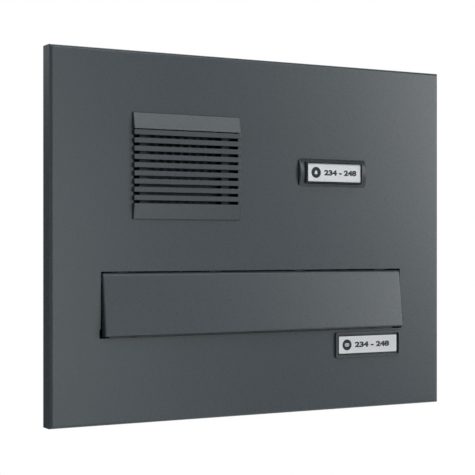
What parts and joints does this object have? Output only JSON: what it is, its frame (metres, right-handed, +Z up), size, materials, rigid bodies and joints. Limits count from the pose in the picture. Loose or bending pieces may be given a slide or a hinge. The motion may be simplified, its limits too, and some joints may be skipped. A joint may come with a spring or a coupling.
{
  "type": "wall mounted mailbox",
  "caption": "Through-wall mailbox: folded front plate with letter flap, louvred speech grille, bell push and name plate, and a telescopic sleeve to a lockable rear door.",
  "frame": {"origin": "middle of the front plate on the wall's face, which is the centre of the four wall screws", "axes": "+Y into the wall, front facing -Y, +X to the right seen from the front, +Z up"},
  "size_m": [0.45, 0.1457, 0.36],
  "materials": {
    "anthracite_paint": "satin powder coat",
    "dark_interior_paint": "matt",
    "galvanised_steel": "zinc coated",
    "white_paint": "satin powder coat",
    "plated_fixings": "zinc plated",
    "hinge_steel": "stainless, satin",
    "black_plastic": "fine texture",
    "clear_plastic": "clear, polished",
    "label_stock": "printed, satin",
    "black_rubber": "matt",
    "grey_foam": "open cell",
    "spring_steel": "bright",
    "circuit_board": "solder mask",
    "terminal_plastic": "moulded",
    "speaker_paper": "pressed paper",
    "magnet_ferrite": "ground",
    "lock_chrome": "polished",
    "key_nickel": "nickel plated"
  },
  "bodies": {
    "plate": {"front_plate": "anthracite_paint", "plate_lock_screws": "plated_fixings", "wall_rail_top": "galvanised_steel", "hook_rail": "galvanised_steel", "wall_brackets": "galvanised_steel", "weld_studs": "plated_fixings", "stud_nuts": "plated_fixings", "grille_hood": "anthracite_paint", "grille_apron": "anthracite_paint", "grille_slats": "anthracite_paint", "grille_rails": "dark_interior_paint", "grille_studs": "plated_fixings", "grille_nuts": "plated_fixings", "sound_screen": "dark_interior_paint", "spacers": "black_plastic", "intercom_bracket": "dark_interior_paint", "speaker_basket": "dark_interior_paint", "speaker_cone": "speaker_paper", "speaker_magnet": "magnet_ferrite", "microphone": "black_rubber", "function_box": "galvanised_steel", "function_box_back": "galvanised_steel", "function_box_gasket": "grey_foam", "cable_grommet": "black_rubber", "bell_bezel": "anthracite_paint", "bell_base": "black_plastic", "bell_screws": "plated_fixings", "bell_springs": "spring_steel", "bell_board": "circuit_board", "bell_switch": "black_plastic", "bell_terminal": "terminal_plastic", "nameplate_frame": "anthracite_paint", "nameplate_label": "label_stock", "nameplate_window": "clear_plastic", "nameplate_clips": "spring_steel", "flap_hinge_pin": "hinge_steel", "hinge_brackets": "dark_interior_paint", "slot_sill": "anthracite_paint", "flap_bumpers": "black_rubber", "front_sleeve": "galvanised_steel", "sleeve_gasket": "grey_foam", "sleeve_clamp_screws": "plated_fixings"},
    "flap": {"letter_flap": "anthracite_paint"},
    "button": {"bell_cap": "clear_plastic", "bell_label": "label_stock", "bell_carrier": "black_plastic", "bell_clips": "spring_steel"},
    "rear": {"rear_sleeve": "galvanised_steel", "rear_frame": "white_paint", "door_hinges_fixed": "white_paint", "door_hinge_pins": "hinge_steel"},
    "door": {"rear_door": "white_paint", "door_seal": "grey_foam", "door_hinges_moving": "white_paint", "lock_body": "lock_chrome", "lock_nut": "plated_fixings"},
    "lock": {"lock_plug": "lock_chrome", "lock_cam": "plated_fixings", "cam_screw": "plated_fixings"},
    "key": {"key": "key_nickel"}
  },
  "joints": [
    {"name": "flap_hinge", "type": "hinge", "parent": "plate", "child": "flap", "pos_m": [0, -0.0167, -0.03755], "axis": [-1, 0, 0], "range_deg": [0, 75]},
    {"name": "bell_press", "type": "slide", "parent": "plate", "child": "button", "axis": [0, 1, 0], "range_m": [0, 0.0015], "stiffness_N_per_m": 600, "springref_m": -0.003, "deforming": ["bell_springs"]},
    {"name": "sleeve_slide", "type": "slide", "parent": "plate", "child": "rear", "axis": [0, 1, 0], "range_m": [0, 0.06]},
    {"name": "door_hinge", "type": "hinge", "parent": "rear", "child": "door", "pos_m": [-0.181, 0.0932, -0.081], "axis": [0, 0, 1], "range_deg": [0, 110]},
    {"name": "lock_turn", "type": "hinge", "parent": "door", "child": "lock", "pos_m": [0.15, 0.09, -0.081], "axis": [0, 1, 0], "range_deg": [0, 90]},
    {"name": "key_slide", "type": "slide", "parent": "lock", "child": "key", "axis": [0, 1, 0], "range_m": [0, 0.03]}
  ]
}
